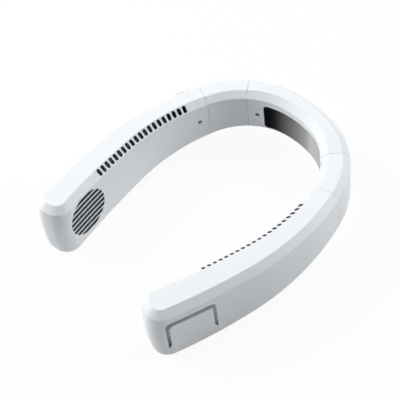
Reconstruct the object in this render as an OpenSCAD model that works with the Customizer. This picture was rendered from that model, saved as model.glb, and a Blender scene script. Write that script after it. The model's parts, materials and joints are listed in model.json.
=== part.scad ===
// Electric neck fan: a horseshoe collar of a back section, two flexing links and two arms.
// Each arm holds a double-inlet centrifugal blower behind a round grille near its tip,
// which blows along the arm and out of a row of slots in the inner top chamfer.
// Axes: +X is the wearer's left, +Y is behind the wearer, +Z is up.
// The origin is under the middle of the collar, level with its lowest edge.

/* [Plan outline] */
// Radius of the inner outline at the nape
back_inner_r = 89; // [84:1:95]
// Radius of the inner outline round each bend
bend_inner_r = 57; // [54:0.5:60]
// Radius of the inner outline along the first part of each arm
arm_inner_r = 147; // [138:1:156]
// Radius of the inner outline near each tip
tip_inner_r = 502; // [470:2:540]
// How much larger the outer outline's radius is at the nape
back_gain = 41; // [38:1:44]
// How much larger the outer outline's radius is round each bend
bend_gain = 20; // [19:0.5:21]
// How much larger the outer outline's radius is along the first part of each arm
arm_gain = 48; // [45:1:51]
// How much larger the outer outline's radius is near each tip
tip_gain = 53; // [48:1:58]
// Half of the angle that the nape arc spans
back_half_angle = 10; // [9:0.5:11]
// Angle that each bend spans
bend_angle = 60; // [58:0.5:62]
// Angle that the first part of each arm spans
arm_angle = 28; // [27:0.5:29]
// Angle that the last part of each arm spans
tip_angle = 10.2; // [9.8:0.1:10.6]
// Thickness of the collar at the nape
back_t = 19.2; // [18.6:0.1:20]
// Plan radius of the two corners of each tip
tip_corner_r = 12.5; // [11:0.5:13.5]

/* [Section] */
// Height of the collar where its underside is highest, behind the nape
crown_h = 36; // [35.4:0.2:38]
// Height of the collar at the tips
tip_h = 51.4; // [50.4:0.2:53]
// How far behind the inner nape face the underside is highest
crown_setback = 38; // [30:1:44]
// How far the end of each tip bulges forward at mid-height
tip_bulge = 1.7; // [0:0.1:2.2]
// Width of the top chamfers, seen from above
chamfer_w = 5.6; // [5:0.1:6]
// Height of the top chamfers
chamfer_h = 4.8; // [4.4:0.1:5.2]
// Radius of the inner bottom edge
bottom_inner_r = 2.8; // [2.2:0.1:3.2]
// Radius of the outer bottom edge
bottom_outer_r = 4.2; // [2.4:0.1:4.8]
// Wall of the housings
wall = 2; // [1.8:0.1:2.2]
// Wall of the soft link sleeves
sleeve_wall = 1.8; // [1.6:0.1:2]

/* [Seams] */
// Length along the inner outline from the nape to the seam between back and link
back_seam = 47; // [46:0.5:48]
// Length along the inner outline from the nape to the seam between link and arm
arm_seam = 79; // [78:0.5:80]

/* [Air slots] */
// Number of slots in each row
slot_count = 20; // [14:1:20]
// Length along the inner outline from the nape to the first slot
slot_start = 97.5; // [97:0.5:100]
// Spacing of the slots
slot_pitch = 4.65; // [4.4:0.05:4.7]
// Width of a slot
slot_w = 3.1; // [2.7:0.1:3.3]
// Length of a slot, up the chamfer
slot_l = 6.1; // [5.4:0.1:6.4]

/* [Intake grille] */
// Length along the inner outline from the tip's end back to the blower's axis
blower_setback = 27.9; // [26:0.1:29]
// How far above the middle of the tip's height the blower's axis lies
blower_lift = 0.7; // [0.4:0.1:1.2]
// Distance from the top face to the slotted round field
grille_edge = 5.5; // [5.3:0.1:7]
// Number of slots in the field
grille_slots = 8; // [6:1:9]
// Width of the bars between them
grille_bar = 1.4; // [1.2:0.1:1.8]

/* [Outer intake cover] */
// Width of the cover along the arm
cover_w = 34.5; // [33:0.5:35]
// Depth of the cover's upper edge below the top face
cover_top = 15.5; // [15:0.5:17]
// How far the cover's lower edge is above the lowest point of the tip
cover_rise = 9.4; // [9:0.1:10.4]
// Groove beside the cover
cover_side_gap = 2.6; // [2.2:0.1:3]
// Groove above the cover
cover_top_gap = 4.4; // [4:0.1:4.8]
// Depth of the recess that the cover sits in
recess_depth = 2.8; // [2.4:0.1:3]
// Corner radius of the cover
cover_corner_r = 3; // [2.4:0.1:3.6]

/* [Cooling plate] */
// Length of the plate from its middle to each end
plate_half = 33.5; // [32:0.5:34]
// Height of the plate
plate_h = 23.6; // [22:0.2:24]
// Depth of the plate's middle below the top face
plate_depth = 22.4; // [22:0.1:22.8]
// Corner radius of the plate
plate_corner_r = 2.6; // [2:0.1:3]

/* [Blower] */
// Room between the blower's case and the housing above or below it
volute_gap = 0.5; // [0.4:0.1:1]
// Width of the impeller along its axis
wheel_w = 12; // [11:0.5:12.5]
// Number of blades
blade_count = 24; // [18:1:26]
// Diameter of the impeller's shaft
shaft_d = 2; // [1.8:0.1:2.4]
// Running clearance round the shaft
shaft_gap = 0.05; // [0.02:0.01:0.08]

/* [Air duct] */
// Depth of the shelf under the duct below the top face
shelf_depth = 19.5; // [19:0.1:20]

/* [Hinges] */
// Diameter of the hinge pins
pin_d = 3; // [2.6:0.1:3.2]
// Running clearance round the hinge pins
pin_gap = 0.05; // [0.02:0.01:0.08]
// Diameter of the hinge knuckles
knuckle_d = 8; // [7:0.2:8.4]

/* [Battery] */
// Room above and below each cell
cell_gap = 2.2; // [1.8:0.1:2.6]
// Length of each cell
cell_l = 50; // [46:0.5:51]

/* [Hidden] */

// Every module draws in a working frame whose origin is on the inner face at the nape, level with the
// top face. A station is a length along the inner outline, and its frame has X forward along the arm,
// Y outward and Z up.

// Smallest piece of an arc that a section of a housing spans
section_step = 4.5;
// Overrun of every cut past the face that it cuts
over = 1;
// Play between pieces that are fitted together but don't touch
fit = 0.3;
$fn = 48;

// Screws, their bosses and their recesses in the inner covers
back_screw_s = back_seam - 7.7;
arm_screw_s = arm_seam + 8.1;
back_screw_depth = 21.7;
arm_screw_depth = 20.4;
screw_d = 1.6;
screw_l = 9;
head_d = 3;
head_h = 0.7;
head_sink = 0.5;
socket_d = 1.4;
socket_depth = 0.4;
boss_d = 5;

// Wall left at the air slots
slot_web = 1.1;

// Hinges: knuckles from the top down, with the spring below the middle one
hinge_s = (back_seam + arm_seam) / 2;
hinge_top = 6;
outer_knuckle_h = 6;
middle_knuckle_h = 7;
spring_space = 4.6;
strap_t = 2;
leaf_t = 1.5;
back_leaf_l = 10;
arm_leaf_l = 12;
arm_leaf_h = 15.5;
pin_head_d = 5;
pin_head_h = 0.8;
spring_wire = 1.1;
spring_leg = 8;
middle_knuckle_top = hinge_top + outer_knuckle_h + fit;
spring_top = middle_knuckle_top + middle_knuckle_h + fit;
lower_knuckle_top = spring_top + spring_space + fit;
hinge_low = lower_knuckle_top + outer_knuckle_h;

// Cooling pack behind the plate
cooler_plate_t = 1.6;
cooler_pad = 22;
cooler_pad_far = 3.4;
module_size = 20;
module_t = 3.2;
frame_w = 27;
frame_h = 23;
frame_t = 2.6;
sink_w = 28;
sink_base = 1.6;
fin_t = 1;
fin_pitch = 3;
fin_count = 9;

// Blower: layers from the inner cover outward
case_t = 1.2;
volute_t = 1;
volute_gain = 1.5;
tongue_angle = 197;
tongue_step = 7;
volute_step = 7;
inlet_edge = 3;
wheel_gap = 0.8;
hub_d = 7;
disc_t = 1;
rim_t = 0.8;
rim_in = 1.6;
blade_in = 3.6;
blade_out = 0.25;
disc_edge = 1.9;
blade_t = 0.8;
blade_sweep = 12;
blade_steps = 4;
spoke_count = 3;
spoke_w = 1.6;
seat_d = 12;
bearing_d = 6;
bearing_h = 1.7;
motor_d = 12;
motor_h = 5;
case_near = wall + fit;
wheel_near = case_near + case_t + wheel_gap;
wheel_far = wheel_near + wheel_w;
lid_near = wheel_far + wheel_gap;
blower_depth = tip_h / 2 - blower_lift;
duct_low = blower_depth - shelf_depth;
grille_d = 2 * (blower_depth - grille_edge);

// Air guide: a shelf between the air duct above and the cells below
shelf_t = 1.2;
shelf_start = arm_seam + 17;

// Cells and their cradles
cell_back = 3.75;
cell_off = 12;
terminal_d = 6;
terminal_h = 1.2;
cradle_t = 2;
cradle_w = 14;
cradle_pitch = 30;
cradle_rise = 2.6;

// Floor of the intake recess and its holes
tray_t = 1.6;
tray_bite = 0.1;
vent_d = 1.5;
vent_pitch = 3.1;
side_vents = 7;
top_vents = 11;
cover_low = tip_h - cover_rise;
cover_h = cover_low - cover_top;
cover_edge = 0.3;
recess_w = cover_w + 2 * cover_side_gap;
recess_h = cover_h + cover_top_gap + cover_edge;
recess_low = cover_low + cover_edge;
recess_corner_r = cover_corner_r + cover_side_gap / 2;
duct_len = recess_w / 2 + tray_t + fit;

// Control board and its parts, in the wearer's right arm
board_s = arm_seam + 29;
board_off = 8;
board_l = 24;
board_t = 1.2;
chip_size = 5;
chip_t = 1;
coil_size = 6;
coil_t = 2.4;

// Charging inlet below the board: a shell, a tongue and a contact block
inlet_s = board_s - 4;
inlet_w = 8.94;
inlet_t = 3.2;
inlet_wall = 0.3;
inlet_l = 7.3;
inlet_mouth_l = 6.2;
inlet_sink = 0.4;
tongue_w = 6.7;
tongue_t = 0.7;
tongue_l = 5.2;
inlet_hole_gap = 0.25;

// Power button, its switch and the status light, on the outer chamfer
button_s = arm_seam + 14.5;
button_l = 8;
button_w = 3;
button_gap = 0.2;
button_proud = 0.7;
button_travel = 0.8;
flange_l = 10;
flange_w = 5;
flange_t = 1;
stem_d = 2.4;
stem_l = 0.7;
switch_size = 5.6;
switch_t = 2;
plunger_d = 2.6;
plunger_h = 0.8;
press_gap = 0.1;
light_s = button_s - 8;
light_d = 1.2;
light_body_d = 2.2;
light_proud = 0.1;
daughter_w = 5.2;
daughter_t = 1;
post_w = 1.2;
post_depth = 3;
post_x = flange_l / 2 + fit + post_w / 2;
daughter_near = light_s - button_s - light_body_d / 2 - fit;
daughter_far = post_x + post_w / 2 + fit;
chamfer_tilt = atan(chamfer_h / chamfer_w);
stem_low = wall + fit + flange_t + stem_l;
plunger_top = stem_low + button_travel + press_gap;
daughter_top = plunger_top + plunger_h + switch_t;

shell_colour = "whitesmoke";
dark_colour = "dimgray";
metal_colour = "silver";

// Plan outlines: four tangent arcs from the nape to the tip, inner and outer, with shared headings.
// A heading is counted from +Y towards +X, and is where the outline's outward normal points.
inner_r = [back_inner_r, bend_inner_r, arm_inner_r, tip_inner_r];
gain = [back_gain, bend_gain, arm_gain, tip_gain];
outer_r = inner_r + gain;
heading = [0, back_half_angle, back_half_angle + bend_angle, back_half_angle + bend_angle + arm_angle,
    back_half_angle + bend_angle + arm_angle + tip_angle];
end_heading = heading[4];
function outward(h) = [sin(h), cos(h)];
function forward(h) = [cos(h), -sin(h)];
function bearing(v) = atan2(v[0], v[1]);
function centre_of(k, radii, start) = k == 0
    ? [0, start - radii[0]]
    : centre_of(k - 1, radii, start) + (radii[k - 1] - radii[k]) * outward(heading[k]);
inner_centre = [for (k = [0 : 3]) centre_of(k, inner_r, 0)];
outer_centre = [for (k = [0 : 3]) centre_of(k, outer_r, back_t)];

// Length along the inner outline, and the point on it and its heading at a length; both sides of the nape
function arc_start(k) = k == 0 ? 0
    : arc_start(k - 1) + inner_r[k - 1] * (heading[k] - heading[k - 1]) * PI / 180;
function arc_at(s) = s < arc_start(1) ? 0 : s < arc_start(2) ? 1 : s < arc_start(3) ? 2 : 3;
function heading_at(s) = s < 0 ? -heading_at(-s)
    : let (k = arc_at(s)) heading[k] + (s - arc_start(k)) / inner_r[k] * 180 / PI;
function length_at(h, k) = arc_start(k) + (h - heading[k]) * PI / 180 * inner_r[k];
function station(s) = s < 0 ? [-station(-s)[0], station(-s)[1]]
    : let (k = arc_at(s)) inner_centre[k] + inner_r[k] * outward(heading_at(s));
function offset_point(s, off) = station(s) + off * outward(heading_at(s));

// Distance from the inner outline to the outer one, moved in by an inset, along the normal at a length
function reach(s, k, inset) = let (
    from = station(s) - outer_centre[k],
    along = from * outward(heading_at(s)))
    -along + sqrt(along * along - from * from + pow(outer_r[k] - inset, 2));
function arc_hit(s, k, inset) = bearing(offset_point(s, reach(s, k, inset)) - outer_centre[k]);
function depth_at(s, inset = 0) = s < 0 ? depth_at(-s, inset) : let (
    first = max(0, arc_at(s) - 1),
    hits = [for (k = [first : 3]) if (arc_hit(s, k, inset) <= heading[k + 1] || k == 3) reach(s, k, inset)])
    hits[0];

hinge_off = depth_at(hinge_s) / 2;

// Lengths to what keeps its distance from the tip's end
tip_s = length_at(end_heading, 3);
blower_s = tip_s - blower_setback;
shelf_end = blower_s - duct_len - fit;
cell_s = blower_s - duct_len - cell_back - cell_l / 2;

// Tip: a straight end between two corners that are tangent to the outlines
end_lead = (outer_centre[3] - inner_centre[3]) * forward(end_heading);
inner_turn = end_heading - asin(tip_corner_r / (tip_inner_r + tip_corner_r));
outer_turn = end_heading - asin((tip_corner_r + end_lead) / (outer_r[3] - tip_corner_r));
inner_corner = inner_centre[3] + (tip_inner_r + tip_corner_r) * outward(inner_turn);
outer_corner = outer_centre[3] + (outer_r[3] - tip_corner_r) * outward(outer_turn);
corner_steps = 9;
bottom_edges = [bottom_inner_r, bottom_outer_r];
last_section = length_at(inner_turn, 3) - tip_corner_r / 4;

// The underside falls from its crown behind the nape to the tips along half a wave
tip_y = outer_corner[1] - tip_corner_r;
wave_run = crown_setback - tip_y;
wave_drop = tip_h - crown_h;
sink_h = 2 * (crown_h - wall - plate_depth - 2 * fit);
function floor_at(p) = -crown_h - wave_drop * (1 - cos(180 * (crown_setback - p[1]) / wave_run)) / 2;

// Room for the cell, the board and the blower between the shelf or the chamfer above and the floor below
shelf_low = shelf_depth + shelf_t;
cell_room = -floor_at(offset_point(cell_s - cell_l / 2, cell_off)) - wall - shelf_low;
cell_d = cell_room - 2 * cell_gap;
cell_depth = shelf_low + cell_gap + cell_d / 2;
board_h = -floor_at(offset_point(board_s - board_l / 2, board_off)) - wall - shelf_low - 2 * fit;
volute_room = min(blower_depth - bevel_low(wall), -floor_at(station(blower_s)) - wall - blower_depth);
volute_max = volute_room - volute_gap - volute_t;
volute_min = volute_max - volute_gain;
wheel_d = 2 * (volute_min - wheel_gap);
inlet_d = wheel_d - 2 * inlet_edge;

module right_side() {
    mirror([1, 0, 0])
        children();
}

module place_at(s, off = 0, z = 0) {
    p = offset_point(s, off);
    translate([p[0], p[1], z])
        rotate([0, 0, -heading_at(s)])
            children();
}

// From a station's frame to one with X forward, Y down and Z outward
module facing_out() {
    rotate([-90, 0, 0])
        children();
}

// At a station, to the middle of the outer chamfer, with Z along its normal
module on_outer_chamfer(s) {
    place_at(s, depth_at(s) - chamfer_w / 2, -chamfer_h / 2)
        rotate([-chamfer_tilt, 0, 0])
            children();
}

module on_inner_chamfer(s) {
    place_at(s, chamfer_w / 2, -chamfer_h / 2)
        rotate([chamfer_tilt, 0, 0])
            children();
}

// Stations from one length to another
function spaced(from, to) = let (n = ceil((to - from) / section_step))
    [for (i = [0 : n]) from + (to - from) * i / n];
function backwards(v) = [for (i = [len(v) - 1 : -1 : 0]) v[i]];

// Plan outlines through a list of stations, moved in by an inset on the inner and on the outer side
function inner_line(stations, inset) = [for (s = stations) offset_point(s, inset)];
function outer_line(stations, inset) = [for (s = backwards(stations)) offset_point(s, depth_at(s, inset))];
function corner_line(centre, from, to, inset) = [for (i = [0 : corner_steps])
    centre + (tip_corner_r - inset) * outward(from + (to - from) * i / corner_steps)];
function open_outline(stations, insets) =
    concat(inner_line(stations, insets[0]), outer_line(stations, insets[1]));
function arm_outline(stations, insets, bulge) = concat(
    inner_line(stations, insets[0]),
    corner_line(inner_corner + bulge * forward(end_heading), inner_turn + 180, end_heading + 90, insets[0]),
    corner_line(outer_corner + bulge * forward(end_heading), end_heading + 90, outer_turn, insets[1]),
    outer_line(stations, insets[1]));

// The top chamfer's line moved in by an inset: how far down and how far in it then ends
function bevel_shift(inset) = 1 + inset * sqrt(1 / pow(chamfer_w, 2) + 1 / pow(chamfer_h, 2));
function bevel_low(inset) = chamfer_h * (bevel_shift(inset) - inset / chamfer_w);
function bevel_in(inset) = chamfer_w * (bevel_shift(inset) - inset / chamfer_h);

// Turns of a rounded edge, and shares of a side's height at which the tip bulges
edge_turns = [90, 60, 30, 0];
wall_shares = [0.75, 0.5, 0.25];
// Layers of a housing from the underside up: each has its insets and its heights on the inner and the outer
// side, the share of the floor's height in them, and the bulge of the tip
function skin_layers(inset, edges) = concat(
    edges[0] > 0
        ? [for (a = edge_turns)
            [[for (r = edges) inset + r * (1 - cos(a))], [for (r = edges) inset + r * (1 - sin(a))], 1, 0]]
        : [[[inset, inset], [inset, inset], 1, 0]],
    [for (k = wall_shares)
        [[inset, inset], [for (r = edges) k * (inset + r) - (1 - k) * bevel_low(inset)],
            k, 4 * k * (1 - k) * tip_bulge]],
    [[[inset, inset], -bevel_low(inset) * [1, 1], 0, 0], [bevel_in(inset) * [1, 1], -inset * [1, 1], 0, 0]]);

// An outline raised to its heights: the inner ones up to the middle of the list, then the outer ones
function ring_at(outline, heights, share) = let (half = len(outline) / 2)
    [for (i = [0 : len(outline) - 1]) let (p = outline[i])
        [p[0], p[1], share * floor_at(p) + heights[i < half ? 0 : 1]]];

// Lofts outlines with as many points each into a solid, with both ends closed by strips from side to side
module stacked(rings) {
    n = len(rings[0]);
    top = len(rings) - 1;
    sides = [for (l = [0 : top - 1], i = [0 : n - 1]) let (j = (i + 1) % n)
        each [[l * n + i, (l + 1) * n + j, l * n + j], [l * n + i, (l + 1) * n + i, (l + 1) * n + j]]];
    strip = [for (i = [0 : n / 2 - 2]) each [[i, i + 1, n - 2 - i], [i, n - 2 - i, n - 1 - i]]];
    lid = [for (t = strip) [top * n + t[0], top * n + t[2], top * n + t[1]]];
    polyhedron(points = [for (ring = rings) each ring], faces = concat(sides, strip, lid));
}

// From the working frame to the part's own frame: the tips' lowest points stand at zero
foot_outline = arm_outline(spaced(arm_seam, last_section), bottom_edges, 0);
lowest = min([for (p = foot_outline) floor_at(p)]);
foremost = min([for (p = arm_outline(spaced(arm_seam, last_section), [0, 0], tip_bulge)) p[1]]);
module in_frame() {
    translate([0, -(foremost + back_t) / 2, -lowest])
        children();
}

module open_form(from, to, inset, edges = [0, 0]) {
    stations = spaced(from, to);
    layers = skin_layers(inset, edges);
    stacked([for (layer = layers) if (layer[3] == 0)
        ring_at(open_outline(stations, layer[0]), layer[1], layer[2])]);
}

module arm_form(from, inset, edges = [0, 0]) {
    stations = spaced(from, last_section);
    stacked([for (layer = skin_layers(inset, edges))
        ring_at(arm_outline(stations, layer[0], layer[3]), layer[1], layer[2])]);
}

// Upright bands between two distances from the inner outline, or between two insets from the outer one
module inner_band(from, to, near, far, bottom, top) {
    stations = spaced(from, to);
    translate([0, 0, bottom])
        linear_extrude(height = top - bottom)
            polygon(concat(inner_line(stations, near), backwards(inner_line(stations, far))));
}

module outer_band(from, to, near, far, bottom, top) {
    stations = spaced(from, to);
    translate([0, 0, bottom])
        linear_extrude(height = top - bottom)
            polygon(concat(outer_line(stations, near), backwards(outer_line(stations, far))));
}

// Rounded outlines
module pill(l, w) {
    square([l - w, w], center = true);
    for (side = [-1, 1])
        translate([side * (l - w) / 2, 0])
            circle(d = w);
}

module rounded(w, h, r) {
    square([w - 2 * r, h], center = true);
    square([w, h - 2 * r], center = true);
    for (x = [-1, 1], y = [-1, 1])
        translate([x * (w / 2 - r), y * (h / 2 - r)])
            circle(r = r);
}

// Upright plate from one plan point to another
module strap(p, q, t, bottom, top) {
    run = q - p;
    translate([p[0], p[1], bottom])
        rotate([0, 0, atan2(run[1], run[0])])
            translate([0, -t / 2, 0])
                cube([norm(run), t, top - bottom]);
}

module screw_recess() {
    facing_out() {
        translate([0, 0, -over])
            cylinder(h = over + head_sink + head_h, d = head_d + 2 * button_gap);
        translate([0, 0, -over])
            cylinder(h = wall + 3 * over, d = screw_d + 2 * button_gap);
    }
}

module screw() {
    facing_out() {
        difference() {
            translate([0, 0, head_sink])
                cylinder(h = head_h, d = head_d);
            translate([0, 0, head_sink - over])
                cylinder(h = over + socket_depth, d = socket_d, $fn = 6);
        }
        translate([0, 0, head_sink + head_h])
            cylinder(h = screw_l, d = screw_d);
    }
}

// Boss from behind the hinge leaf to the outer wall, with the screw's pilot hole
module boss(s) {
    near = wall + fit + leaf_t + fit;
    facing_out()
        translate([0, 0, near])
            cylinder(h = depth_at(s) - wall / 2 - near, d = boss_d);
}

module pilot() {
    facing_out()
        cylinder(h = head_sink + head_h + screw_l + fit, d = screw_d + 2 * button_gap);
}

// Housings
module back_walls() {
    difference() {
        open_form(-back_seam, back_seam, 0, bottom_edges);
        open_form(-back_seam - over, back_seam + over, wall);
    }
}

module arm_walls() {
    difference() {
        arm_form(arm_seam, 0, bottom_edges);
        arm_form(arm_seam - over, wall);
    }
}

module back_parting() {
    inner_band(-back_seam - over, back_seam + over, -over, chamfer_w + fit, -tip_h, over);
}

module arm_parting() {
    inner_band(arm_seam - over, tip_s + over, -over, chamfer_w + fit, -tip_h - over, over);
}

module plate_window(gap) {
    half = station(plate_half)[0] + gap;
    translate([0, wall + over, -plate_depth])
        rotate([90, 0, 0])
            linear_extrude(height = back_t)
                rounded(2 * half, plate_h + 2 * gap, plate_corner_r + gap);
}

module back_outer_shell() {
    color(shell_colour)
        in_frame()
            difference() {
                union() {
                    difference() {
                        back_walls();
                        back_parting();
                    }
                    for (side = [-1, 1])
                        place_at(side * back_screw_s, 0, -back_screw_depth)
                            boss(back_screw_s);
                }
                for (side = [-1, 1])
                    place_at(side * back_screw_s, 0, -back_screw_depth)
                        pilot();
            }
}

module back_inner_cover() {
    color(shell_colour)
        in_frame()
            difference() {
                intersection() {
                    back_walls();
                    back_parting();
                }
                plate_window(fit);
                for (side = [-1, 1])
                    place_at(side * back_screw_s, 0, -back_screw_depth)
                        screw_recess();
            }
}

module cooling_plate() {
    color(dark_colour)
        in_frame() {
            intersection() {
                inner_band(-plate_half - over, plate_half + over, 0, cooler_plate_t, -tip_h, 0);
                plate_window(0);
            }
            translate([-cooler_pad / 2, cooler_plate_t / 2, -plate_depth - cooler_pad / 2])
                cube([cooler_pad, cooler_pad_far - cooler_plate_t / 2, cooler_pad]);
        }
}

module cooling_module() {
    color("ivory")
        in_frame()
            translate([-module_size / 2, cooler_pad_far, -plate_depth - module_size / 2])
                cube([module_size, module_t, module_size]);
}

module insulation_frame() {
    hole = module_size + 2 * fit;
    color("gray")
        in_frame()
            translate([0, cooler_pad_far + fit, -plate_depth])
                rotate([-90, 0, 0])
                    linear_extrude(height = frame_t)
                        difference() {
                            square([frame_w, frame_h], center = true);
                            square([hole, hole], center = true);
                        }
}

module heat_sink() {
    base_near = cooler_pad_far + module_t;
    low = -plate_depth - sink_h / 2;
    fin_far = depth_at(sink_w / 2) - wall - 2 * fit - sink_w * sink_w / 8 / back_inner_r;
    color(metal_colour)
        in_frame() {
            translate([-sink_w / 2, base_near, low])
                cube([sink_w, sink_base, sink_h]);
            for (i = [0 : fin_count - 1])
                translate([(i - (fin_count - 1) / 2) * fin_pitch - fin_t / 2, base_near, low])
                    cube([fin_t, fin_far - base_near, sink_h]);
        }
}

module back_screws() {
    color(metal_colour)
        in_frame()
            for (side = [-1, 1])
                place_at(side * back_screw_s, 0, -back_screw_depth)
                    screw();
}

// Links: a soft sleeve over a hinge
module link_sleeve() {
    color("gainsboro")
        in_frame()
            difference() {
                open_form(back_seam + fit, arm_seam - fit, 0, bottom_edges);
                open_form(back_seam - over, arm_seam + over, sleeve_wall);
            }
}

module at_pin(depth) {
    p = offset_point(hinge_s, hinge_off);
    translate([p[0], p[1], -depth])
        children();
}

module pin_bore() {
    at_pin(hinge_low + over)
        cylinder(h = hinge_low - hinge_top + 2 * over, d = pin_d + 2 * pin_gap);
}

module knuckle(top, h) {
    at_pin(top + h)
        cylinder(h = h, d = knuckle_d);
}

module leaf_hole(s, depth) {
    place_at(s, 0, -depth)
        pilot();
}

module hinge_bracket() {
    leaf_off = wall + fit;
    pin = offset_point(hinge_s, hinge_off);
    color(metal_colour)
        in_frame()
            difference() {
                union() {
                    place_at(back_screw_s, leaf_off, -hinge_low)
                        translate([-back_leaf_l / 2, 0, 0])
                            cube([back_leaf_l, leaf_t, hinge_low - hinge_top]);
                    strap(offset_point(back_screw_s, leaf_off + leaf_t / 2) + back_leaf_l / 4
                        * forward(heading_at(back_screw_s)), pin, strap_t, -hinge_low, -hinge_top);
                    knuckle(hinge_top, outer_knuckle_h);
                    knuckle(lower_knuckle_top, outer_knuckle_h);
                }
                at_pin(lower_knuckle_top)
                    cylinder(h = lower_knuckle_top - hinge_top - outer_knuckle_h, d = knuckle_d + 4 * fit);
                pin_bore();
                leaf_hole(back_screw_s, back_screw_depth);
            }
}

module hinge_arm() {
    leaf_off = wall + fit;
    pin = offset_point(hinge_s, hinge_off);
    color(metal_colour)
        in_frame()
            difference() {
                union() {
                    place_at(arm_screw_s, leaf_off, -middle_knuckle_top - arm_leaf_h)
                        translate([-arm_leaf_l / 2, 0, 0])
                            cube([arm_leaf_l, leaf_t, arm_leaf_h]);
                    strap(offset_point(arm_screw_s, leaf_off + leaf_t / 2) - arm_leaf_l / 4
                        * forward(heading_at(arm_screw_s)), pin, strap_t,
                        fit - middle_knuckle_top - middle_knuckle_h, -middle_knuckle_top - fit);
                    knuckle(middle_knuckle_top, middle_knuckle_h);
                }
                pin_bore();
                leaf_hole(arm_screw_s, arm_screw_depth);
            }
}

module hinge_pin() {
    color(metal_colour)
        in_frame() {
            at_pin(hinge_low + fit)
                cylinder(h = hinge_low + fit - hinge_top, d = pin_d);
            at_pin(hinge_top)
                cylinder(h = pin_head_h, d = pin_head_d);
        }
}

// Torsion spring: closed coils round the pin, and a leg beside each strap
module return_spring() {
    coil_r = pin_d / 2 + fit + spring_wire / 2;
    coils = ceil(spring_space / spring_wire);
    rise = (spring_space - spring_wire) / (coils - 1);
    back_run = offset_point(back_screw_s, wall) - offset_point(hinge_s, hinge_off);
    arm_run = offset_point(arm_screw_s, wall) - offset_point(hinge_s, hinge_off);
    color(metal_colour)
        in_frame()
            at_pin(spring_top + spring_space) {
                rotate_extrude()
                    for (i = [0 : coils - 1])
                        translate([coil_r, spring_wire / 2 + i * rise])
                            circle(d = spring_wire * 1.04);
                spring_leg(back_run, coil_r, 1, spring_wire / 2);
                spring_leg(arm_run, coil_r, -1, spring_space - spring_wire / 2);
            }
}

module spring_leg(run, coil_r, side, z) {
    rotate([0, 0, atan2(run[1], run[0])])
        translate([0, side * coil_r, z])
            rotate([0, 90, 0])
                cylinder(h = spring_leg, d = spring_wire);
}

// Arms
module grille_slots() {
    pitch = grille_d / grille_slots;
    opening = pitch - grille_bar;
    place_at(blower_s, 0, -blower_depth)
        facing_out()
            translate([0, 0, -over])
                intersection() {
                    cylinder(h = wall + 3 * over, d = grille_d, $fn = 96);
                    for (i = [0 : grille_slots - 1])
                        translate([-grille_d / 2, (i - (grille_slots - 1) / 2) * pitch - opening / 2, 0])
                            cube([grille_d, opening, wall + 3 * over]);
                }
}

module air_slots() {
    for (i = [0 : slot_count - 1])
        on_inner_chamfer(slot_start + i * slot_pitch) {
            translate([0, 0, -wall - over])
                linear_extrude(height = wall + 2 * over)
                    rotate(90)
                        pill(slot_l, slot_w);
            translate([-slot_w / 2 - fit, fit - slot_l / 2, -wall - over])
                cube([slot_w + 2 * fit, slot_l - 2 * fit, wall + over - slot_web]);
        }
}

module arm_cover() {
    color(shell_colour)
        in_frame()
            arm_cover_form();
}

module arm_cover_form() {
    difference() {
        intersection() {
            arm_walls();
            arm_parting();
        }
        grille_slots();
        air_slots();
        place_at(arm_screw_s, 0, -arm_screw_depth)
            screw_recess();
    }
}

// Window of the intake recess or of its cover, as a prism outward from the middle of the arm
module intake_window(w, h, low, r) {
    place_at(blower_s, depth_at(blower_s) / 2, h / 2 - low)
        facing_out()
            linear_extrude(height = depth_at(blower_s))
                rounded(w, h, r);
}

module intake_tray() {
    outer_band(blower_s - recess_w / 2 - tray_t, blower_s + recess_w / 2 + tray_t, wall - tray_bite,
        recess_depth + tray_t, -recess_low - tray_t, recess_h - recess_low + tray_t);
}

module intake_recess() {
    intersection() {
        outer_band(blower_s - recess_w / 2 - over, blower_s + recess_w / 2 + over, -over, recess_depth,
            -tip_h, 0);
        intake_window(recess_w, recess_h, recess_low, recess_corner_r);
    }
}

module vent(x, z) {
    place_at(blower_s, depth_at(blower_s) / 2, z)
        translate([x, 0, 0])
            facing_out()
                cylinder(h = depth_at(blower_s), d = vent_d, $fn = 24);
}

module intake_vents() {
    side_x = cover_w / 2 + cover_side_gap / 2;
    side_top = cover_h - cover_low - vent_pitch / 2;
    row_z = cover_h - cover_low + cover_top_gap / 2;
    for (side = [-1, 1], i = [0 : side_vents - 1])
        vent(side * side_x, side_top - i * vent_pitch);
    for (i = [0 : top_vents - 1])
        vent((i - (top_vents - 1) / 2) * vent_pitch, row_z);
}

// Cradle rib under a cell, cut to its round, beside the inner cover's floor
module cradle(x) {
    low = floor_at(offset_point(cell_s + x, cell_off)) + wall / 2;
    near = chamfer_w + 2 * fit - cell_off;
    place_at(cell_s, cell_off, 0)
        difference() {
            translate([x - cradle_t / 2, near, low])
                cube([cradle_t, cradle_w / 2 - near, -cell_depth - cell_d / 2 + cradle_rise - low]);
            translate([x - cradle_t, 0, -cell_depth])
                rotate([0, 90, 0])
                    cylinder(h = 2 * cradle_t, d = cell_d + 2 * fit);
        }
}

module arm_outer_shell() {
    difference() {
        union() {
            difference() {
                arm_walls();
                arm_parting();
            }
            intake_tray();
            place_at(arm_screw_s, 0, -arm_screw_depth)
                boss(arm_screw_s);
            for (side = [-1, 1])
                cradle(side * cradle_pitch / 2);
        }
        intake_recess();
        intake_vents();
        place_at(arm_screw_s, 0, -arm_screw_depth)
            pilot();
    }
}

// The inlet stands on the board's face, square to it
inlet_off = board_t + inlet_t / 2;
inlet_ahead = (inlet_s - board_s) * forward(heading_at(board_s));
inlet_low = floor_at(offset_point(board_s, board_off + inlet_off) + inlet_ahead);
module at_inlet(z) {
    place_at(board_s, board_off, inlet_low + z)
        translate([inlet_s - board_s, inlet_off, 0])
            children();
}

module inlet_opening() {
    at_inlet(-over)
        linear_extrude(height = wall + 3 * over)
            pill(inlet_w + 2 * inlet_hole_gap, inlet_t + 2 * inlet_hole_gap);
}

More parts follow.
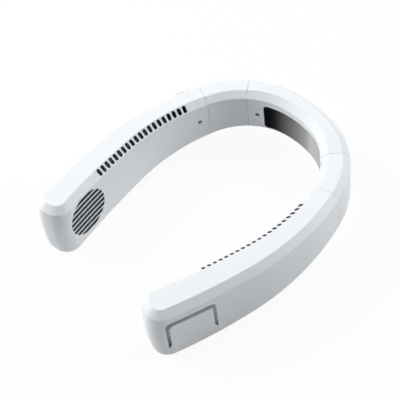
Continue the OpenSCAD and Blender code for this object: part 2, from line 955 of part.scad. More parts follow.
module button_opening() {
    on_outer_chamfer(button_s)
        translate([0, 0, -wall - over])
            linear_extrude(height = wall + 2 * over)
                pill(button_l + 2 * button_gap, button_w + 2 * button_gap);
    on_outer_chamfer(button_s)
        translate([light_s - button_s, 0, -wall - over])
            cylinder(h = wall + 2 * over, d = light_d + 2 * pin_gap, $fn = 24);
}

// Posts from the chamfer's wall to the daughter board
module board_posts() {
    on_outer_chamfer(button_s)
        for (x = [-post_x, post_x])
            translate([x - post_w / 2, -post_depth / 2, -daughter_top])
                cube([post_w, post_depth, daughter_top - wall / 2]);
}

module left_arm_outer_shell() {
    color(shell_colour)
        in_frame()
            arm_outer_shell();
}

module right_arm_outer_shell() {
    color(shell_colour)
        in_frame()
            right_side() {
                difference() {
                    arm_outer_shell();
                    inlet_opening();
                    button_opening();
                }
                board_posts();
            }
}

module intake_cover() {
    color(shell_colour)
        in_frame()
            intersection() {
                outer_band(blower_s - cover_w / 2 - over, blower_s + cover_w / 2 + over, 0,
                    recess_depth - fit, -tip_h, 0);
                intake_window(cover_w, cover_h, cover_low, cover_corner_r);
            }
}

module arm_screw() {
    color(metal_colour)
        in_frame()
            place_at(arm_screw_s, 0, -arm_screw_depth)
                screw();
}

// Blower: the volute grows from its tongue round the tip side to the duct along the top
volute_growth = (volute_max - volute_min) / (tongue_angle + 90);
function volute_r(a, t) = t + volute_min + volute_growth * (tongue_angle - a);
function volute(t, duct_end, first) = concat(
    [for (a = [first : -volute_step : -90]) volute_r(a, t) * [cos(a), sin(a)]],
    [[0, -volute_max - t], [-duct_end, -volute_max - t], [-duct_end, t - duct_low]]);

module blower_frame() {
    place_at(blower_s, 0, -blower_depth)
        facing_out()
            children();
}

module spider(near, h, seat) {
    translate([0, 0, near]) {
        cylinder(h = h, d = seat);
        for (i = [0 : spoke_count - 1])
            rotate(i * 360 / spoke_count)
                translate([0, -spoke_w / 2, 0])
                    cube([inlet_d / 2 + volute_t, spoke_w, h]);
    }
}

module case_plate(near) {
    translate([0, 0, near])
        linear_extrude(height = case_t)
            difference() {
                polygon(volute(volute_t, duct_len, tongue_angle - tongue_step));
                circle(d = inlet_d);
            }
}

module blower_case() {
    color(dark_colour)
        in_frame()
            blower_frame()
                difference() {
                    union() {
                        case_plate(case_near);
                        spider(case_near, case_t, bearing_d);
                        translate([0, 0, case_near])
                            cylinder(h = bearing_h, d = bearing_d);
                        translate([0, 0, case_near + case_t / 2])
                            linear_extrude(height = lid_near - case_near - case_t / 2)
                                difference() {
                                    polygon(volute(volute_t, duct_len, tongue_angle - tongue_step));
                                    polygon(volute(0, duct_len + over, tongue_angle));
                                }
                    }
                    cylinder(h = wheel_near, d = shaft_d + 2 * shaft_gap);
                }
}

module blower_lid() {
    color(dark_colour)
        in_frame()
            blower_frame() {
                case_plate(lid_near);
                spider(lid_near, case_t, seat_d);
            }
}

module motor() {
    color(metal_colour)
        in_frame()
            blower_frame() {
                translate([0, 0, lid_near - motor_h])
                    cylinder(h = motor_h, d = motor_d);
                translate([0, 0, case_near + fit])
                    cylinder(h = lid_near - case_near - fit - motor_h / 2, d = shaft_d);
            }
}

// Forward-curved blades: arcs that lean with the turning, between the inner and outer radius
function blade_point(r, turn) = r * [cos(turn), sin(turn)];
function blade_edge(side) = [for (i = [0 : blade_steps]) let (
    share = i / blade_steps,
    r = wheel_d / 2 - blade_out - (blade_in - blade_out) * (1 - share),
    turn = -blade_sweep * share * share + side * blade_t / 2 / r * 180 / PI)
    blade_point(r, turn)];

module blades() {
    for (i = [0 : blade_count - 1])
        rotate(i * 360 / blade_count)
            linear_extrude(height = wheel_w)
                polygon(concat(blade_edge(-1), backwards(blade_edge(1))));
}

module end_rim() {
    difference() {
        cylinder(h = rim_t, d = wheel_d);
        translate([0, 0, -over])
            cylinder(h = rim_t + 2 * over, d = wheel_d - 2 * rim_in);
    }
}

module impeller() {
    hub_far = lid_near - motor_h - wheel_near - fit;
    color("lightgray")
        in_frame()
            blower_frame()
                translate([0, 0, wheel_near])
                    difference() {
                        union() {
                            cylinder(h = hub_far, d = hub_d);
                            translate([0, 0, (wheel_w - disc_t) / 2])
                                cylinder(h = disc_t, d = wheel_d - 2 * disc_edge);
                            blades();
                            end_rim();
                            translate([0, 0, wheel_w - rim_t])
                                end_rim();
                        }
                        translate([0, 0, -over])
                            cylinder(h = wheel_w + 2 * over, d = shaft_d + 2 * shaft_gap);
                    }
}

module air_guide() {
    color("gainsboro")
        in_frame()
            translate([0, 0, -shelf_depth - shelf_t])
                linear_extrude(height = shelf_t)
                    polygon(open_outline(spaced(shelf_start, shelf_end), (wall + fit) * [1, 1]));
}

module battery() {
    color("steelblue")
        in_frame()
            place_at(cell_s, cell_off, -cell_depth)
                rotate([0, 90, 0]) {
                    translate([0, 0, -cell_l / 2])
                        cylinder(h = cell_l, d = cell_d);
                    translate([0, 0, cell_l / 2])
                        cylinder(h = terminal_h, d = terminal_d);
                }
}

module control_board() {
    color("seagreen")
        in_frame()
            right_side()
                place_at(board_s, board_off, -shelf_low - fit - board_h) {
                    translate([-board_l / 2, 0, 0])
                        cube([board_l, board_t, board_h]);
                    translate([chip_size / 2, board_t / 2, board_h / 2])
                        cube([chip_size, board_t / 2 + chip_t, chip_size]);
                    translate([-chip_size, board_t / 2, board_h - coil_size - fit])
                        cube([coil_size, board_t / 2 + coil_t, coil_size]);
                }
}

module charging_socket() {
    color(metal_colour)
        in_frame()
            right_side()
                at_inlet(inlet_sink) {
                    difference() {
                        linear_extrude(height = inlet_l)
                            pill(inlet_w, inlet_t);
                        translate([0, 0, -over])
                            linear_extrude(height = inlet_mouth_l + over)
                                pill(inlet_w - 2 * inlet_wall, inlet_t - 2 * inlet_wall);
                    }
                    translate([-tongue_w / 2, -tongue_t / 2, inlet_mouth_l - tongue_l])
                        cube([tongue_w, tongue_t, tongue_l + inlet_wall]);
                }
}

module power_button() {
    color("lightgray")
        in_frame()
            right_side()
                on_outer_chamfer(button_s) {
                    translate([0, 0, -wall - fit - flange_t / 2])
                        linear_extrude(height = wall + fit + flange_t / 2 + button_proud)
                            pill(button_l, button_w);
                    translate([0, 0, -wall - fit - flange_t])
                        linear_extrude(height = flange_t)
                            pill(flange_l, flange_w);
                    translate([0, 0, -stem_low])
                        cylinder(h = stem_l + flange_t / 2, d = stem_d);
                }
}

module button_switch() {
    color("black")
        in_frame()
            right_side()
                on_outer_chamfer(button_s) {
                    translate([daughter_near, -daughter_w / 2, -daughter_top - daughter_t])
                        cube([daughter_far - daughter_near, daughter_w, daughter_t]);
                    translate([-switch_size / 2, -daughter_w / 2, -daughter_top - daughter_t / 2])
                        cube([switch_size, daughter_w, switch_t + daughter_t / 2]);
                    translate([0, 0, -daughter_top])
                        cylinder(h = switch_t + plunger_h, d = plunger_d);
                }
}

module status_light() {
    color("deepskyblue")
        in_frame()
            right_side()
                on_outer_chamfer(button_s) {
                    translate([light_s - button_s, 0, -daughter_top])
                        cylinder(h = daughter_top - wall - fit, d = light_body_d, $fn = 24);
                    translate([light_s - button_s, 0, -wall - 2 * fit])
                        cylinder(h = wall + 2 * fit + light_proud, d = light_d, $fn = 24);
                }
}

back_outer_shell();
back_inner_cover();
cooling_plate();
cooling_module();
insulation_frame();
heat_sink();
back_screws();
link_sleeve();  // left_link_sleeve
right_side() link_sleeve();  // right_link_sleeve
hinge_bracket();  // left_hinge_bracket
right_side() hinge_bracket();  // right_hinge_bracket
hinge_arm();  // left_hinge_arm
right_side() hinge_arm();  // right_hinge_arm
hinge_pin();  // left_hinge_pin
right_side() hinge_pin();  // right_hinge_pin
return_spring();  // left_return_spring
right_side() return_spring();  // right_return_spring
left_arm_outer_shell();
right_arm_outer_shell();
arm_cover();  // left_arm_inner_cover
right_side() arm_cover();  // right_arm_inner_cover
intake_cover();  // left_intake_cover
right_side() intake_cover();  // right_intake_cover
arm_screw();  // left_arm_screw
right_side() arm_screw();  // right_arm_screw
blower_case();  // left_blower_case
right_side() blower_case();  // right_blower_case
blower_lid();  // left_blower_lid
right_side() blower_lid();  // right_blower_lid
impeller();  // left_impeller
right_side() impeller();  // right_impeller
motor();  // left_motor
right_side() motor();  // right_motor
air_guide();  // left_air_guide
right_side() air_guide();  // right_air_guide
battery();  // left_battery
right_side() battery();  // right_battery
control_board();
charging_socket();
power_button();
button_switch();
status_light();
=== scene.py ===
import json
import math

import bmesh
import bpy
from mathutils import Matrix, Vector
from mathutils.bvhtree import BVHTree


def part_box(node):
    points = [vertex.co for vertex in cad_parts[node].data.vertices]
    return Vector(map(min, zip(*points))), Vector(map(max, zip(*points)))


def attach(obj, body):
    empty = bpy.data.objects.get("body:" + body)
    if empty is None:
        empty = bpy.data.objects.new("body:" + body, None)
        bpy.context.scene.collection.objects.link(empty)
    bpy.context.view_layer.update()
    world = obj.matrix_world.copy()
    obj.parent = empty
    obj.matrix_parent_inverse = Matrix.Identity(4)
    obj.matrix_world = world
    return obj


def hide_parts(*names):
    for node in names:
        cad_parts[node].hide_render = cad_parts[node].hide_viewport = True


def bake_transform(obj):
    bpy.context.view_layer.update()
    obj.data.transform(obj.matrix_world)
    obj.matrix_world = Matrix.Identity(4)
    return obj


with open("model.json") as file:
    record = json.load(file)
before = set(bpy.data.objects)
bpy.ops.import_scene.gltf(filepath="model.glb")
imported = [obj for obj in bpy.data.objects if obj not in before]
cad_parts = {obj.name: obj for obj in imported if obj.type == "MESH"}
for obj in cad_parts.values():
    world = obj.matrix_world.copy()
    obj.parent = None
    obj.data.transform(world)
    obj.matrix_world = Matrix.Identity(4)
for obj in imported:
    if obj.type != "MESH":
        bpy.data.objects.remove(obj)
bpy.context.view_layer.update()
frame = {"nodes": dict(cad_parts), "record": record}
bodies = {node: body for body, nodes in frame["record"]["behaviour"]["bodies"].items() for node in nodes}
slots = {row["node"]: row["material_slot"] for row in frame["record"]["subparts"]}
print("stage: frame loaded")


# small helpers for node trees

def newMaterial(name):
    material = bpy.data.materials.new(name)
    material.use_nodes = True
    shader = material.node_tree.nodes["Principled BSDF"]
    return material, material.node_tree, shader


def objectNoise(tree, scale, detail, roughness=0.5):
    coords = tree.nodes.new("ShaderNodeTexCoord")
    noise = tree.nodes.new("ShaderNodeTexNoise")
    noise.inputs["Scale"].default_value = scale
    noise.inputs["Detail"].default_value = detail
    noise.inputs["Roughness"].default_value = roughness
    tree.links.new(coords.outputs["Object"], noise.inputs["Vector"])
    return noise


def ramp(tree, source, low, high, lowValue, highValue):
    mapRange = tree.nodes.new("ShaderNodeMapRange")
    mapRange.inputs["From Min"].default_value = low
    mapRange.inputs["From Max"].default_value = high
    mapRange.inputs["To Min"].default_value = lowValue
    mapRange.inputs["To Max"].default_value = highValue
    tree.links.new(source, mapRange.inputs["Value"])
    return mapRange.outputs["Result"]


def colourMix(tree, factor, first, second):
    # the colour sockets of a mix node are its inputs 6 and 7 and its output 2
    mix = tree.nodes.new("ShaderNodeMix")
    mix.data_type = "RGBA"
    mix.inputs[6].default_value = (*first, 1)
    mix.inputs[7].default_value = (*second, 1)
    tree.links.new(factor, mix.inputs["Factor"])
    return mix.outputs[2]


def addBump(tree, shader, height, strength, distance):
    bump = tree.nodes.new("ShaderNodeBump")
    bump.inputs["Strength"].default_value = strength
    bump.inputs["Distance"].default_value = distance
    tree.links.new(height, bump.inputs["Height"])
    tree.links.new(bump.outputs["Normal"], shader.inputs["Normal"])


def twoTone(tree, shader, noise, settings, span):
    blend = ramp(tree, noise.outputs["Fac"], *span, 0.0, 1.0)
    colour = colourMix(tree, blend, settings["colour"], settings["shade"])
    tree.links.new(colour, shader.inputs["Base Color"])


def unevenGloss(tree, shader, noise, roughness, spread):
    rough = ramp(tree, noise.outputs["Fac"], *texture["span"], roughness - spread[0], roughness + spread[1])
    tree.links.new(rough, shader.inputs["Roughness"])


# spans: the part of a noise's range that is used; spreads: how far the roughness strays down and up
texture = {"span": (0.3, 0.7), "cloudSpan": (0.35, 0.65), "cloudDetail": 3.0,
           "sheenFiner": 2.7, "sheenDetail": 2.0, "grainDetail": 2.0, "grainRoughness": 0.6, "lineDetail": 5.0,
           "plasticSpread": (0.03, 0.04), "metalSpread": (0.05, 0.06), "plasticIor": 1.49}


def mouldedPlastic(name, settings):
    material, tree, shader = newMaterial(name)
    cloud = objectNoise(tree, settings["cloudScale"], texture["cloudDetail"])
    twoTone(tree, shader, cloud, settings, texture["cloudSpan"])
    sheen = objectNoise(tree, settings["cloudScale"] * texture["sheenFiner"], texture["sheenDetail"])
    unevenGloss(tree, shader, sheen, settings["roughness"], texture["plasticSpread"])
    grain = objectNoise(tree, settings["grainScale"], texture["grainDetail"], texture["grainRoughness"])
    addBump(tree, shader, grain.outputs["Fac"], settings["grain"], settings["grainHeight"])
    shader.inputs["IOR"].default_value = texture["plasticIor"]
    return material


def brushedMetal(name, settings):
    material, tree, shader = newMaterial(name)
    coords = tree.nodes.new("ShaderNodeTexCoord")
    mapping = tree.nodes.new("ShaderNodeMapping")
    mapping.inputs["Scale"].default_value = settings["stretch"]
    tree.links.new(coords.outputs["Object"], mapping.inputs["Vector"])
    lines = tree.nodes.new("ShaderNodeTexNoise")
    lines.inputs["Scale"].default_value = settings["lineScale"]
    lines.inputs["Detail"].default_value = texture["lineDetail"]
    tree.links.new(mapping.outputs["Vector"], lines.inputs["Vector"])
    twoTone(tree, shader, lines, settings, texture["span"])
    unevenGloss(tree, shader, lines, settings["roughness"], texture["metalSpread"])
    addBump(tree, shader, lines.outputs["Fac"], settings["lines"], settings["lineHeight"])
    shader.inputs["Metallic"].default_value = 1.0
    return material


# materials, one per finish; "inside" is a painted shade for the hollows, and the lighter painted slot shade is
# for what shows through the air slots
plastics = {
    "shell": {"colour": (0.795, 0.812, 0.83), "shade": (0.775, 0.792, 0.81), "roughness": 0.42,
              "cloudScale": 18.0, "grainScale": 2600.0, "grain": 0.12, "grainHeight": 0.00003},
    "sleeve": {"colour": (0.79, 0.807, 0.825), "shade": (0.768, 0.785, 0.803), "roughness": 0.5,
               "cloudScale": 24.0, "grainScale": 2200.0, "grain": 0.18, "grainHeight": 0.00003},
    "ceramic": {"colour": (0.86, 0.85, 0.80), "shade": (0.80, 0.79, 0.74), "roughness": 0.3,
                "cloudScale": 60.0, "grainScale": 3000.0, "grain": 0.1, "grainHeight": 0.00002},
    "foam": {"colour": (0.09, 0.09, 0.095), "shade": (0.05, 0.05, 0.055), "roughness": 0.9,
             "cloudScale": 900.0, "grainScale": 1500.0, "grain": 0.8, "grainHeight": 0.0001},
    "dark_plastic": {"colour": (0.022, 0.023, 0.026), "shade": (0.016, 0.017, 0.019), "roughness": 0.5,
                     "cloudScale": 50.0, "grainScale": 2600.0, "grain": 0.2, "grainHeight": 0.00003},
    "wheel_plastic": {"colour": (0.075, 0.08, 0.09), "shade": (0.06, 0.064, 0.07), "roughness": 0.4,
                      "cloudScale": 60.0, "grainScale": 2600.0, "grain": 0.15, "grainHeight": 0.00003},
    "cell_wrap": {"colour": (0.04, 0.13, 0.34), "shade": (0.03, 0.10, 0.28), "roughness": 0.3,
                  "cloudScale": 70.0, "grainScale": 1200.0, "grain": 0.15, "grainHeight": 0.00004},
    "board": {"colour": (0.01, 0.11, 0.04), "shade": (0.008, 0.085, 0.03), "roughness": 0.35,
              "cloudScale": 500.0, "grainScale": 1800.0, "grain": 0.2, "grainHeight": 0.00004},
    "button": {"colour": (0.77, 0.78, 0.795), "shade": (0.74, 0.75, 0.765), "roughness": 0.38,
               "cloudScale": 120.0, "grainScale": 2600.0, "grain": 0.1, "grainHeight": 0.00003},
    # painted shade: a dark grey laid on white faces that look at another face, standing for the shade in hollows
    # and openings
    "inside": {"colour": (0.125, 0.134, 0.148), "shade": (0.10, 0.108, 0.12), "roughness": 0.7,
               "cloudScale": 60.0, "grainScale": 1800.0, "grain": 0.3, "grainHeight": 0.00004},
    # painted shade: a lighter grey laid on the faces seen through the air slots, standing for their dim depth
    "paintedSlotShade": {"colour": (0.34, 0.35, 0.365), "shade": (0.30, 0.31, 0.325), "roughness": 0.7,
               "cloudScale": 60.0, "grainScale": 1800.0, "grain": 0.3, "grainHeight": 0.00004},
    "switch": {"colour": (0.015, 0.015, 0.016), "shade": (0.01, 0.01, 0.011), "roughness": 0.45,
               "cloudScale": 200.0, "grainScale": 2600.0, "grain": 0.2, "grainHeight": 0.00003},
}
metals = {
    "sink": {"colour": (0.62, 0.63, 0.65), "shade": (0.52, 0.53, 0.55), "roughness": 0.35,
             "stretch": (1, 1, 20), "lineScale": 120.0, "lines": 0.15, "lineHeight": 0.00003},
    "steel": {"colour": (0.17, 0.174, 0.18), "shade": (0.13, 0.133, 0.14), "roughness": 0.34,
              "stretch": (1, 1, 8), "lineScale": 300.0, "lines": 0.12, "lineHeight": 0.00003},
    "motor_can": {"colour": (0.45, 0.46, 0.48), "shade": (0.38, 0.39, 0.41), "roughness": 0.3,
                  "stretch": (1, 1, 10), "lineScale": 300.0, "lines": 0.12, "lineHeight": 0.00003},
    "inlet_steel": {"colour": (0.55, 0.56, 0.57), "shade": (0.46, 0.47, 0.48), "roughness": 0.28,
                    "stretch": (8, 8, 1), "lineScale": 400.0, "lines": 0.1, "lineHeight": 0.00002},
}
plate = {"colour": (0.010, 0.0105, 0.012), "shade": (0.007, 0.0075, 0.009), "roughness": 0.15,
         "spread": (0.02, 0.02), "cloudScale": 240.0, "grainScale": 1600.0, "grain": 0.05, "grainHeight": 0.00002,
         "facing": (0.385, 0.656), "power": 2.5, "ior": 3.1}
lens = {"colour": (0.55, 0.62, 0.68), "shade": (0.48, 0.56, 0.63), "roughness": 0.18,
        "cloudScale": 900.0, "cloudDetail": 2.0, "transmission": 0.35}


def glossPlate():
    # dark polished face of the cooling plate: its gloss rises where it is seen at a low angle
    material, tree, shader = newMaterial("cold_plate")
    cloud = objectNoise(tree, plate["cloudScale"], texture["cloudDetail"])
    twoTone(tree, shader, cloud, plate, texture["span"])
    unevenGloss(tree, shader, cloud, plate["roughness"], plate["spread"])
    grain = objectNoise(tree, plate["grainScale"], texture["grainDetail"])
    addBump(tree, shader, grain.outputs["Fac"], plate["grain"], plate["grainHeight"])
    weight = tree.nodes.new("ShaderNodeLayerWeight")
    slant = ramp(tree, weight.outputs["Facing"], *plate["facing"], 0.0, 1.0)
    rise = tree.nodes.new("ShaderNodeMath")
    rise.operation = "POWER"
    rise.inputs[1].default_value = plate["power"]
    tree.links.new(slant, rise.inputs[0])
    tree.links.new(rise.outputs["Value"], shader.inputs["Specular IOR Level"])
    shader.inputs["IOR"].default_value = plate["ior"]
    return material


def lensMaterial():
    material, tree, shader = newMaterial("lens")
    cloud = objectNoise(tree, lens["cloudScale"], lens["cloudDetail"])
    twoTone(tree, shader, cloud, lens, texture["span"])
    shader.inputs["Roughness"].default_value = lens["roughness"]
    shader.inputs["Transmission Weight"].default_value = lens["transmission"]
    return material


finishes = {name: mouldedPlastic(name, settings) for name, settings in plastics.items()}
finishes.update({name: brushedMetal(name, settings) for name, settings in metals.items()})
finishes["lens"] = lensMaterial()
finishes["cold_plate"] = glossPlate()
print("stage: materials made")

for name, node in frame["nodes"].items():
    node.data.materials.clear()
    node.data.materials.append(finishes[slots[name]])


# the visible pieces are finished copies of the CAD nodes: welded, with their edges eased

# heights are above the panel's lowest edge; the sides start sideFrom from its middle
panelLower = {"drop": 0.00024, "dropBelow": 0.0005, "side": 0.0024, "sideFrom": 0.0125,
              "fadeLow": 0.001, "fadeTop": 0.006, "cuts": 6}
easedPieces = {
    "backShell": {"node": "back_outer_shell", "soft": 0.0007, "sharp": 0.00012, "near": "back"},
    "backCover": {"node": "back_inner_cover", "soft": 0.0007, "sharp": 0.00012, "near": "back"},
    "coldPlate": {"node": "cooling_plate", "soft": 0.0003, "sharp": 0.0002},
    "leftArmShell": {"node": "left_arm_outer_shell", "soft": 0.0007, "sharp": 0.00012, "near": "left_arm"},
    "rightArmShell": {"node": "right_arm_outer_shell", "soft": 0.0007, "sharp": 0.00012, "near": "right_arm"},
    "leftArmCover": {"node": "left_arm_inner_cover", "soft": 0.0007, "sharp": 0.00012, "near": "left_arm"},
    "rightArmCover": {"node": "right_arm_inner_cover", "soft": 0.0007, "sharp": 0.00012, "near": "right_arm"},
    "leftIntakeCover": {"node": "left_intake_cover", "soft": 0.0003, "sharp": 0.0004, "lower": panelLower},
    "rightIntakeCover": {"node": "right_intake_cover", "soft": 0.0003, "sharp": 0.0004, "lower": panelLower},
    "powerKey": {"node": "power_button", "soft": 0.0003, "sharp": 0.0003},
}
easing = {"segments": 3, "creaseAngle": 14.0, "sharpAngle": 70.0, "smoothAngle": 30.0, "weld": 0.000002,
          "flat": 0.4}
# where the painted shade of the hollows goes: how far a face looks, the room round the intake panel and the
# screw, and where the lighter painted slot shade starts
hollows = {"reach": 0.045, "lift": 0.00002, "recessRoom": 0.0055, "recessTilt": 0.3,
           "paintedSlotShadeFrom": -0.055, "screwRoom": 0.004}


def pickOnly(obj):
    bpy.ops.object.select_all(action="DESELECT")
    obj.select_set(True)
    bpy.context.view_layer.objects.active = obj


def weldedCopy(nodeName, pieceName):
    source = frame["nodes"][nodeName]
    piece = source.copy()
    piece.data = source.data.copy()
    piece.name = pieceName
    piece.data.name = pieceName
    piece.parent = None
    bpy.context.scene.collection.objects.link(piece)
    pickOnly(piece)
    bpy.ops.object.mode_set(mode="EDIT")
    bpy.ops.mesh.select_all(action="SELECT")
    bpy.ops.mesh.remove_doubles(threshold=easing["weld"])
    bpy.ops.mesh.dissolve_limited(angle_limit=math.radians(easing["flat"]))
    bpy.ops.object.mode_set(mode="OBJECT")
    return piece


def neighbourTree(body):
    points, faces = [], []
    for nodeName, rider in bodies.items():
        if rider == body and not nodeName.endswith("sleeve"):
            mesh = frame["nodes"][nodeName].data
            first = len(points)
            points += [vertex.co.copy() for vertex in mesh.vertices]
            faces += [[first + index for index in face.vertices] for face in mesh.polygons]
    return BVHTree.FromPolygons(points, faces)


def facePoints(mesh):
    # a point well inside each face: the middle of its largest triangle
    mesh.calc_loop_triangles()
    largest = {}
    for triangle in mesh.loop_triangles:
        if triangle.area > largest.get(triangle.polygon_index, (0.0, None))[0]:
            largest[triangle.polygon_index] = (triangle.area, triangle.center.copy())
    return {index: centre for index, (area, centre) in largest.items()}


def inBox(point, box, room):
    return all(box[0][axis] - room < point[axis] < box[1][axis] + room for axis in range(3))


def paintShadeInHollows(piece, body):
    # a face that looks at another face of the same body is inside it, or the wall of an opening, and gets a
    # painted shade
    tree = neighbourTree(body)
    paintedShadeIndex, paintedSlotShadeIndex = 1, 2
    piece.data.materials.append(finishes["inside"])
    piece.data.materials.append(finishes["paintedSlotShade"])
    recess, screw = None, None
    if body != "back":
        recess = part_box(body.replace("_arm", "_intake_cover"))
        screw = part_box(body + "_screw")
    points = facePoints(piece.data)
    for face in piece.data.polygons:
        point = points.get(face.index, face.center)
        start = point + face.normal * hollows["lift"]
        if not tree.ray_cast(start, face.normal, hollows["reach"])[0]:
            continue
        if recess and inBox(point, recess, hollows["recessRoom"]):
            # round the intake panel the light reaches the floor, lower and back walls of the groove, so only its
            # upper wall and the wall at its tip end get the painted shade
            if face.normal.z > -hollows["recessTilt"] and face.normal.y < hollows["recessTilt"]:
                continue
        # the rest takes the dark painted shade; nearer the back than the slot limit and away from the screw, it
        # takes the lighter painted slot shade
        face.material_index = paintedShadeIndex
        if screw and point.y > hollows["paintedSlotShadeFrom"] and not inBox(point, screw, hollows["screwRoom"]):
            face.material_index = paintedSlotShadeIndex


def easeEdges(piece, soft, sharp):
    # soft is the easing of a crease, sharp that of a square edge; where sharp is wider, it serves for both
    widest = max(soft, sharp)
    shape = bmesh.new()
    shape.from_mesh(piece.data)
    weights = shape.edges.layers.float.new("bevel_weight_edge")
    for edge in shape.edges:
        angle = math.degrees(edge.calc_face_angle(0.0))
        if angle > easing["creaseAngle"]:
            edge[weights] = sharp / widest if angle > easing["sharpAngle"] else 1.0
    shape.to_mesh(piece.data)
    shape.free()
    pickOnly(piece)
    bevel = piece.modifiers.new("edges", "BEVEL")
    bevel.width = widest
    bevel.segments = easing["segments"]
    bevel.limit_method = "WEIGHT"
    bevel.use_clamp_overlap = True
    bpy.ops.object.modifier_apply(modifier="edges")
    bpy.ops.object.shade_smooth_by_angle(angle=math.radians(easing["smoothAngle"]))
    weighted = piece.modifiers.new("shading", "WEIGHTED_NORMAL")
    weighted.keep_sharp = True
    bpy.ops.object.modifier_apply(modifier="shading")


def cutLevel(piece, heights):
    shape = bmesh.new()
    shape.from_mesh(piece.data)
    for height in heights:
        bmesh.ops.bisect_plane(shape, geom=shape.verts[:] + shape.edges[:] + shape.faces[:],
                               plane_co=(0, 0, height), plane_no=(0, 0, 1))
    shape.to_mesh(piece.data)
    shape.free()


def closeLowerGroove(piece, lower):
    # the groove round the intake panel ends a little above the panel's lower edge, where the sides widen
    lowest = min(vertex.co.z for vertex in piece.data.vertices)
    fade = lower["fadeTop"] - lower["fadeLow"]
    steps = lower["cuts"] - 1
    cutLevel(piece, [lowest + (lower["fadeLow"] + fade * step / steps) for step in range(lower["cuts"])])
    points = [vertex.co.copy() for vertex in piece.data.vertices]
    middle = sum(points, Vector()) / len(points)
    flat = [Vector((point.x - middle.x, point.y - middle.y, 0)) for point in points]
    along = max(flat, key=lambda point: point.length).normalized()
    for vertex, offset in zip(piece.data.vertices, flat):
        height = vertex.co.z - lowest
        share = min(1.0, max(0.0, (lower["fadeTop"] - height) / fade))
        share = share * share * (3 - 2 * share)
        side = offset.dot(along)
        if abs(side) > lower["sideFrom"]:
            vertex.co += along * math.copysign(lower["side"] * share, side)
        if height < lower["dropBelow"]:
            vertex.co.z -= lower["drop"]


def easedCopy(pieceName, settings):
    piece = weldedCopy(settings["node"], pieceName)
    if "near" in settings:
        paintShadeInHollows(piece, settings["near"])
    if "lower" in settings:
        closeLowerGroove(piece, settings["lower"])
    easeEdges(piece, settings["soft"], settings["sharp"])
    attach(piece, bodies[settings["node"]])
    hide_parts(settings["node"])
    print("piece", pieceName, len(piece.data.polygons), "faces")


for pieceName, settings in easedPieces.items():
    easedCopy(pieceName, settings)
print("stage: housings finished")


# link sleeves: each lies between its two bodies

sleeves = {"soft": 0.0007, "sharp": 0.00012, "stretch": 0.00012, "endFacing": 0.9,
           "backEnd": (0.0534, 0.0846, 0.03), "armEnd": (0.0717, 0.0534, 0.03)}


def stretchEnds(piece, chord):
    # each end comes closer to its neighbour, so the seams read as hairlines
    shifts = {}
    for face in piece.data.polygons:
        if abs(face.normal.dot(chord)) > sleeves["endFacing"]:
            for index in face.vertices:
                shifts[index] = face.normal * sleeves["stretch"]
    for index, shift in shifts.items():
        piece.data.vertices[index].co += shift


for side, sign in (("left", 1), ("right", -1)):
    nodeName = f"{side}_link_sleeve"
    piece = weldedCopy(nodeName, f"{side}Sleeve")
    backEnd = Vector((sign * sleeves["backEnd"][0], *sleeves["backEnd"][1:]))
    armEnd = Vector((sign * sleeves["armEnd"][0], *sleeves["armEnd"][1:]))
    stretchEnds(piece, (armEnd - backEnd).normalized())
    easeEdges(piece, sleeves["soft"], sleeves["sharp"])
    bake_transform(piece)
    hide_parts(nodeName)
print("stage: sleeves finished")


# camera: fitted to the photograph, as an orbit round the nape's inner face at the top

view = {"azimuth": 56.856, "elevation": 50.194, "roll": -8.362, "distance": 0.96142,
        "right": 0.075712, "up": 0.067162, "lens": 111.176, "sensor": 36.0, "nape": (0, 0.091921, 0.051388)}


def placeCamera():
    azimuth = math.radians(view["azimuth"])
    elevation = math.radians(view["elevation"])
    roll = math.radians(view["roll"])
    forward = Vector((-math.sin(azimuth) * math.cos(elevation), math.cos(azimuth) * math.cos(elevation),
                      -math.sin(elevation)))
    right = Vector((math.cos(azimuth), math.sin(azimuth), 0))
    up = right.cross(forward)
    rolledRight = right * math.cos(roll) + up * math.sin(roll)
    rolledUp = up * math.cos(roll) - right * math.sin(roll)
    place = (Vector(view["nape"]) - view["right"] * rolledRight - view["up"] * rolledUp
             - view["distance"] * forward)
    data = bpy.data.cameras.new("camera")
    data.lens = view["lens"]
    data.sensor_width = view["sensor"]
    camera = bpy.data.objects.new("camera", data)
    turn = Matrix((rolledRight, rolledUp, -forward)).transposed().to_4x4()
    camera.matrix_world = Matrix.Translation(place) @ turn
    bpy.context.scene.collection.objects.link(camera)
    bpy.context.scene.camera = camera


placeCamera()
print("stage: camera placed")


# studio: a pale floor that the camera sees as white, soft lamps and an even sky

studio = {"floorSize": 6.0, "floorColour": (0.8, 0.8, 0.8), "floorRoughness": 0.9, "floorWhite": 0.92,
          "skyColour": (0.82, 0.91, 1.0), "skyStrength": 0.12, "lampSize": 1.2, "lampAim": (0, 0, 0.03)}
lamps = {
    "keyLamp": {"place": (-1.277, -0.737, 1.032), "power": 34.2},
    "rimLamp": {"place": (0.737, 1.277, 1.032), "power": 16.3},
    "topLamp": {"place": (0, 0.845, 1.589), "power": 9.4},
}


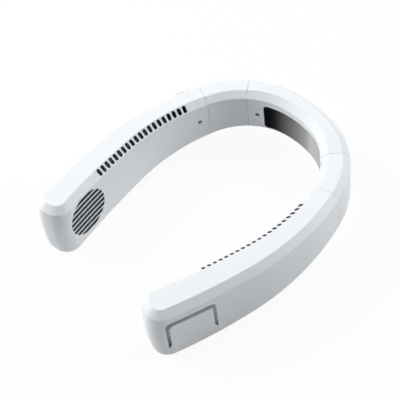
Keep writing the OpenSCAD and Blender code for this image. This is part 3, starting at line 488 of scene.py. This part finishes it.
def seenDirectly(tree):
    path = tree.nodes.new("ShaderNodeLightPath")
    seen = path.outputs["Is Camera Ray"]
    for kind in ("Is Glossy Ray", "Is Transmission Ray"):
        either = tree.nodes.new("ShaderNodeMath")
        either.operation = "MAXIMUM"
        tree.links.new(seen, either.inputs[0])
        tree.links.new(path.outputs[kind], either.inputs[1])
        seen = either.outputs["Value"]
    return seen


def makeFloor():
    bpy.ops.object.select_all(action="DESELECT")
    bpy.ops.mesh.primitive_plane_add(size=studio["floorSize"], location=(0, 0, 0))
    floor = bpy.context.object
    floor.name = "floor"
    material, tree, shader = newMaterial("floor")
    shader.inputs["Base Color"].default_value = (*studio["floorColour"], 1)
    shader.inputs["Roughness"].default_value = studio["floorRoughness"]
    white = tree.nodes.new("ShaderNodeEmission")
    share = ramp(tree, seenDirectly(tree), 0.0, 1.0, 0.0, studio["floorWhite"])
    mix = tree.nodes.new("ShaderNodeMixShader")
    tree.links.new(share, mix.inputs["Fac"])
    tree.links.new(shader.outputs["BSDF"], mix.inputs[1])
    tree.links.new(white.outputs["Emission"], mix.inputs[2])
    tree.links.new(mix.outputs["Shader"], tree.nodes["Material Output"].inputs["Surface"])
    floor.data.materials.append(material)


def makeSky():
    world = bpy.data.worlds.new("studio")
    world.use_nodes = True
    bpy.context.scene.world = world
    tree = world.node_tree
    background = tree.nodes["Background"]
    seen = seenDirectly(tree)
    tint = colourMix(tree, seen, studio["skyColour"], (1.0, 1.0, 1.0))
    tree.links.new(tint, background.inputs["Color"])
    tree.links.new(ramp(tree, seen, 0.0, 1.0, studio["skyStrength"], 1.0), background.inputs["Strength"])


def makeLamps():
    for name, settings in lamps.items():
        data = bpy.data.lights.new(name, "AREA")
        data.energy = settings["power"]
        data.size = studio["lampSize"]
        lamp = bpy.data.objects.new(name, data)
        lamp.location = settings["place"]
        aim = Vector(studio["lampAim"]) - Vector(settings["place"])
        lamp.rotation_euler = aim.to_track_quat("-Z", "Y").to_euler()
        bpy.context.scene.collection.objects.link(lamp)


makeFloor()
makeSky()
makeLamps()
bpy.context.scene.view_settings.view_transform = "Standard"
print("stage: studio ready")
